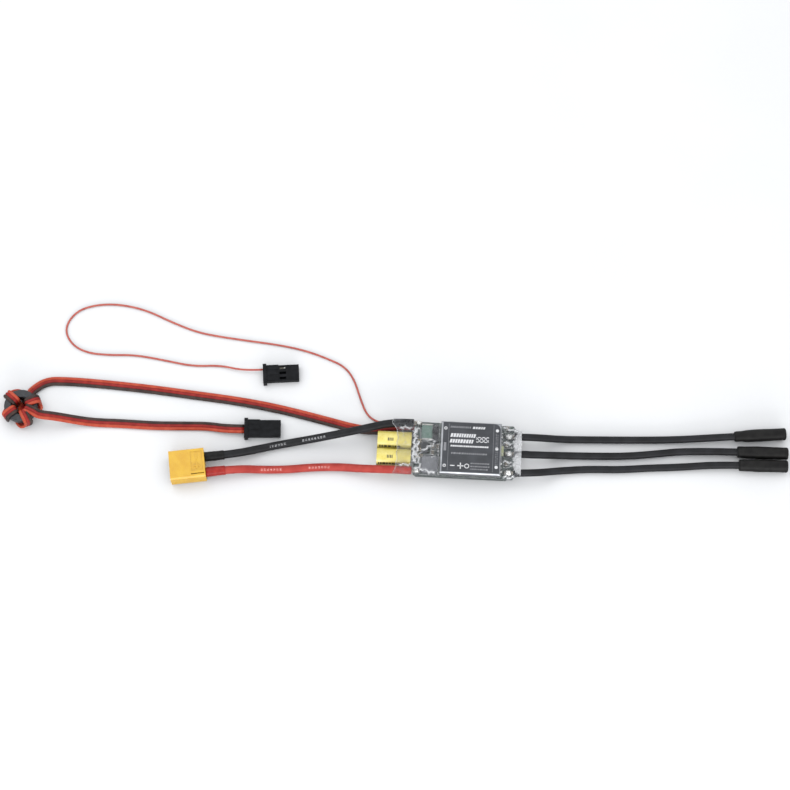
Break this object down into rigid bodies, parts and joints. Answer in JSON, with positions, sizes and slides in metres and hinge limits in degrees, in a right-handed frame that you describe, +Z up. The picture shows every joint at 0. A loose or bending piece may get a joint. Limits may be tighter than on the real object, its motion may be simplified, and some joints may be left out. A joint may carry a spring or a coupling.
{
  "type": "electronic speed controller",
  "caption": "Flat three-phase motor speed controller in clear film with heat-sink plate, filter capacitors, shrouded battery plug, motor sockets and servo leads.",
  "frame": {"origin": "middle of the controller's underside, without its leads", "axes": "+X along the controller towards the motor leads, +Y across it towards the negative battery lead's side, +Z up through the heat-sink plate"},
  "size_m": [0.3545, 0.086, 0.011],
  "materials": {
    "clear_film": "gloss",
    "bare_aluminium": "satin",
    "label_film": "matt",
    "thermal_pad": "matt",
    "circuit_board": "satin",
    "chip_plastic": "matt",
    "plated_pins": "gloss",
    "can_aluminium": "satin",
    "gold_sleeve": "gloss",
    "rubber_bung": "matt",
    "tinned_copper": "satin",
    "fuse_green": "satin",
    "inductor_grey": "satin",
    "ceramic_tan": "satin",
    "resistor_black": "satin",
    "solder": "gloss",
    "black_silicone": "satin",
    "red_silicone": "satin",
    "black_shrink": "satin",
    "red_shrink": "satin",
    "yellow_nylon": "satin",
    "gold_plate": "gloss",
    "ribbon_pvc": "satin",
    "wire_pvc": "satin",
    "ferrite": "matt",
    "black_nylon": "satin"
  },
  "bodies": {
    "root": {"battery_lead_negative": "black_silicone", "battery_lead_positive": "red_silicone", "battery_pin_negative": "gold_plate", "battery_pin_positive": "gold_plate", "battery_plug_shell": "yellow_nylon", "battery_solder_joints": "solder", "board_pin_spacers": "chip_plastic", "board_pins": "plated_pins", "capacitor_bungs": "rubber_bung", "capacitor_front_can": "can_aluminium", "capacitor_front_sleeve": "gold_sleeve", "capacitor_leads": "tinned_copper", "capacitor_rear_can": "can_aluminium", "capacitor_rear_sleeve": "gold_sleeve", "capacitor_solder": "solder", "ceramic_capacitors": "ceramic_tan", "chip_resistors": "resistor_black", "control_board": "circuit_board", "control_chip_parts": "ceramic_tan", "ferrite_ring": "ferrite", "fuse_body": "fuse_green", "fuse_terminals": "tinned_copper", "gate_drivers": "chip_plastic", "heatsink_plate": "bare_aluminium", "inductor_body": "inductor_grey", "inductor_terminals": "tinned_copper", "label": "label_film", "lead_sleeve_negative": "black_shrink", "lead_sleeve_positive": "red_shrink", "lead_strands": "tinned_copper", "main_board": "circuit_board", "microcontroller": "chip_plastic", "motor_lead_a": "black_silicone", "motor_lead_b": "black_silicone", "motor_lead_c": "black_silicone", "motor_socket_a": "gold_plate", "motor_socket_b": "gold_plate", "motor_socket_c": "gold_plate", "motor_solder_joints": "solder", "power_transistors": "chip_plastic", "receiver_cable": "ribbon_pvc", "receiver_cable_tail": "ribbon_pvc", "receiver_cable_winding": "ribbon_pvc", "receiver_contacts": "gold_plate", "receiver_plug": "black_nylon", "rectifier_diodes": "chip_plastic", "regulator_chip": "chip_plastic", "resonator": "can_aluminium", "shrink_film": "clear_film", "socket_sleeve_a": "black_shrink", "socket_sleeve_b": "black_shrink", "socket_sleeve_c": "black_shrink", "telemetry_contact": "gold_plate", "telemetry_plug": "black_nylon", "telemetry_wire": "wire_pvc", "thermal_pad": "thermal_pad"}
  },
  "joints": []
}
